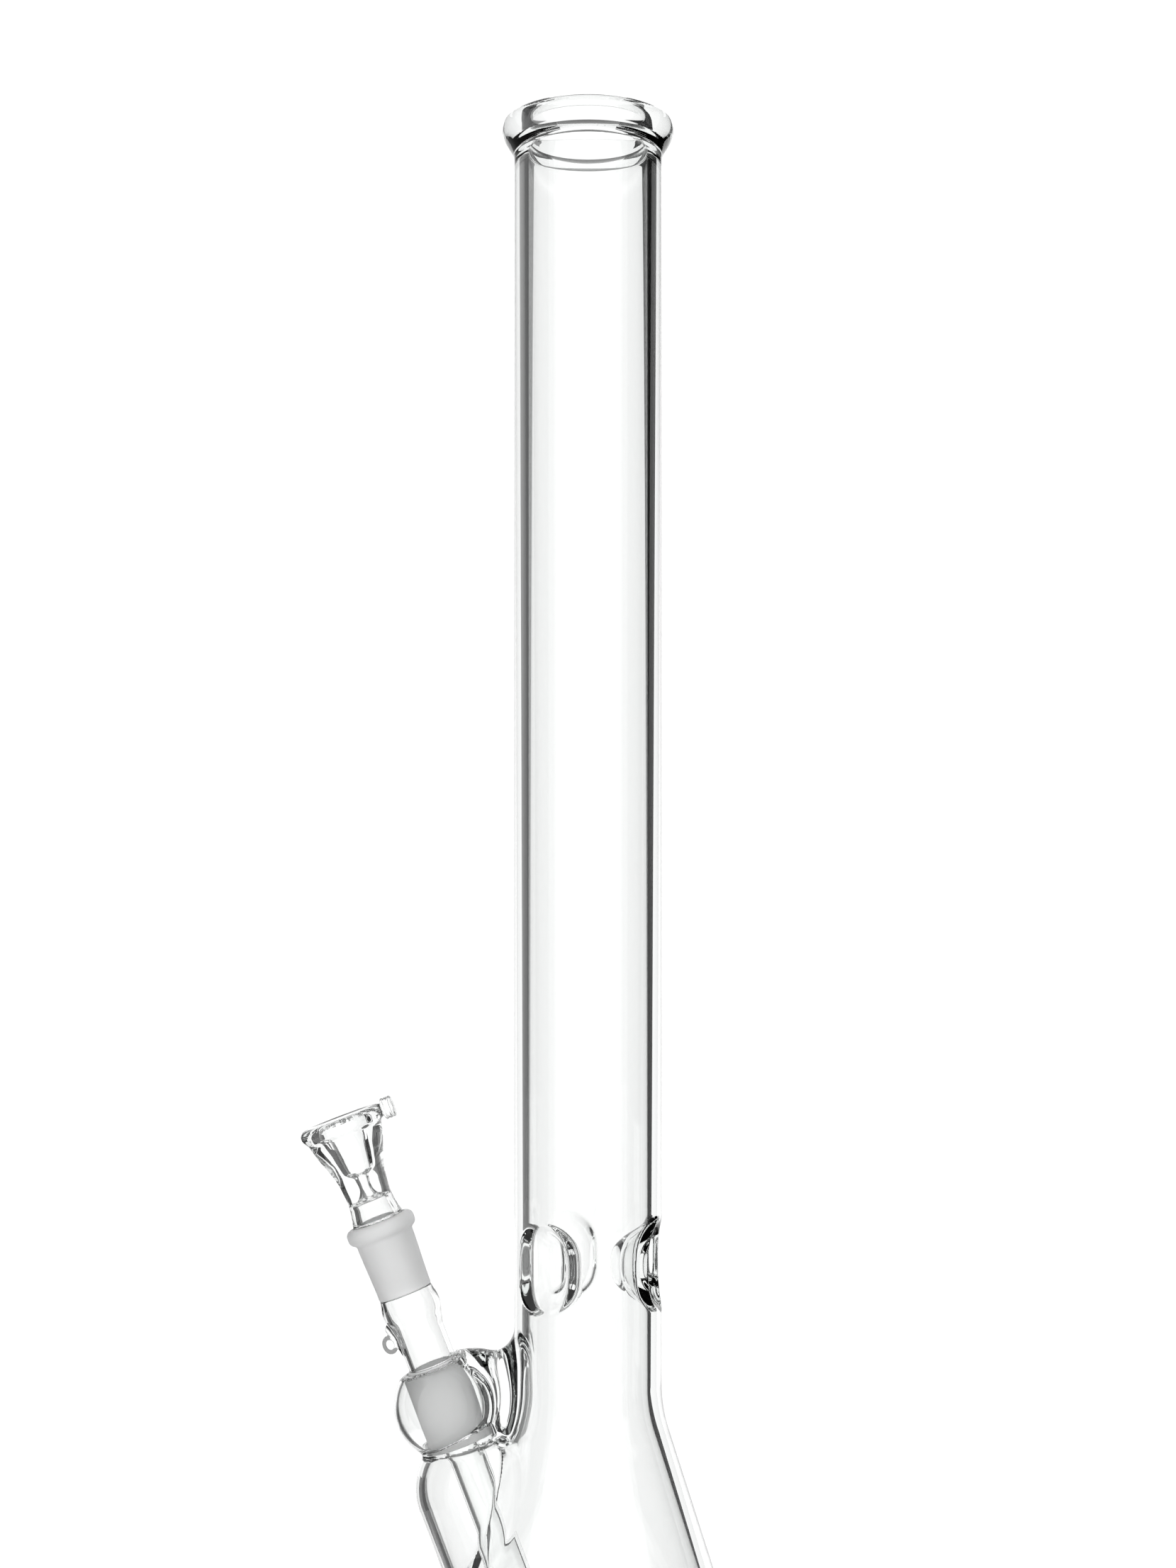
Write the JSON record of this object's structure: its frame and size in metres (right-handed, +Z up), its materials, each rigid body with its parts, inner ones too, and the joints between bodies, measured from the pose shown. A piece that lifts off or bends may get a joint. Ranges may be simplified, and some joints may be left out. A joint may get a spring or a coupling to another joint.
{
  "type": "glass water pipe",
  "caption": "Clear glass water pipe: tall straight neck with a rolled mouthpiece and ice notches, beaker base, and an angled ground joint with a removable downstem and bowl.",
  "frame": {"origin": "centre of the underside of the base, on the neck's axis", "axes": "+Z up along the neck; the side joint leans out towards -X; +Y is away from the usual viewer"},
  "size_m": [0.1613, 0.1202, 0.575],
  "materials": {
    "clear_glass": "polished, colourless borosilicate",
    "ground_glass": "fine ground, matt"
  },
  "bodies": {
    "pipe": {"neck_tube": "clear_glass", "mouthpiece_lip": "clear_glass", "beaker_base": "clear_glass", "joint_arm": "clear_glass", "joint_ball": "clear_glass", "joint_socket": "ground_glass"},
    "downstem": {"adapter_socket": "ground_glass", "stem_tube": "clear_glass", "ground_cone": "ground_glass", "dip_tube": "clear_glass", "eyelet": "clear_glass"},
    "bowl": {"bowl_cone": "ground_glass", "bowl_stem": "clear_glass", "bowl_cup": "clear_glass", "bowl_rim": "clear_glass", "bowl_knob": "clear_glass"}
  },
  "joints": [
    {"name": "downstem_lift", "type": "slide", "parent": "pipe", "child": "downstem", "axis": [-0.3551, 0, 0.9348], "range_m": [0, 0.15]},
    {"name": "bowl_lift", "type": "slide", "parent": "downstem", "child": "bowl", "axis": [-0.3551, 0, 0.9348], "range_m": [0, 0.06]}
  ]
}
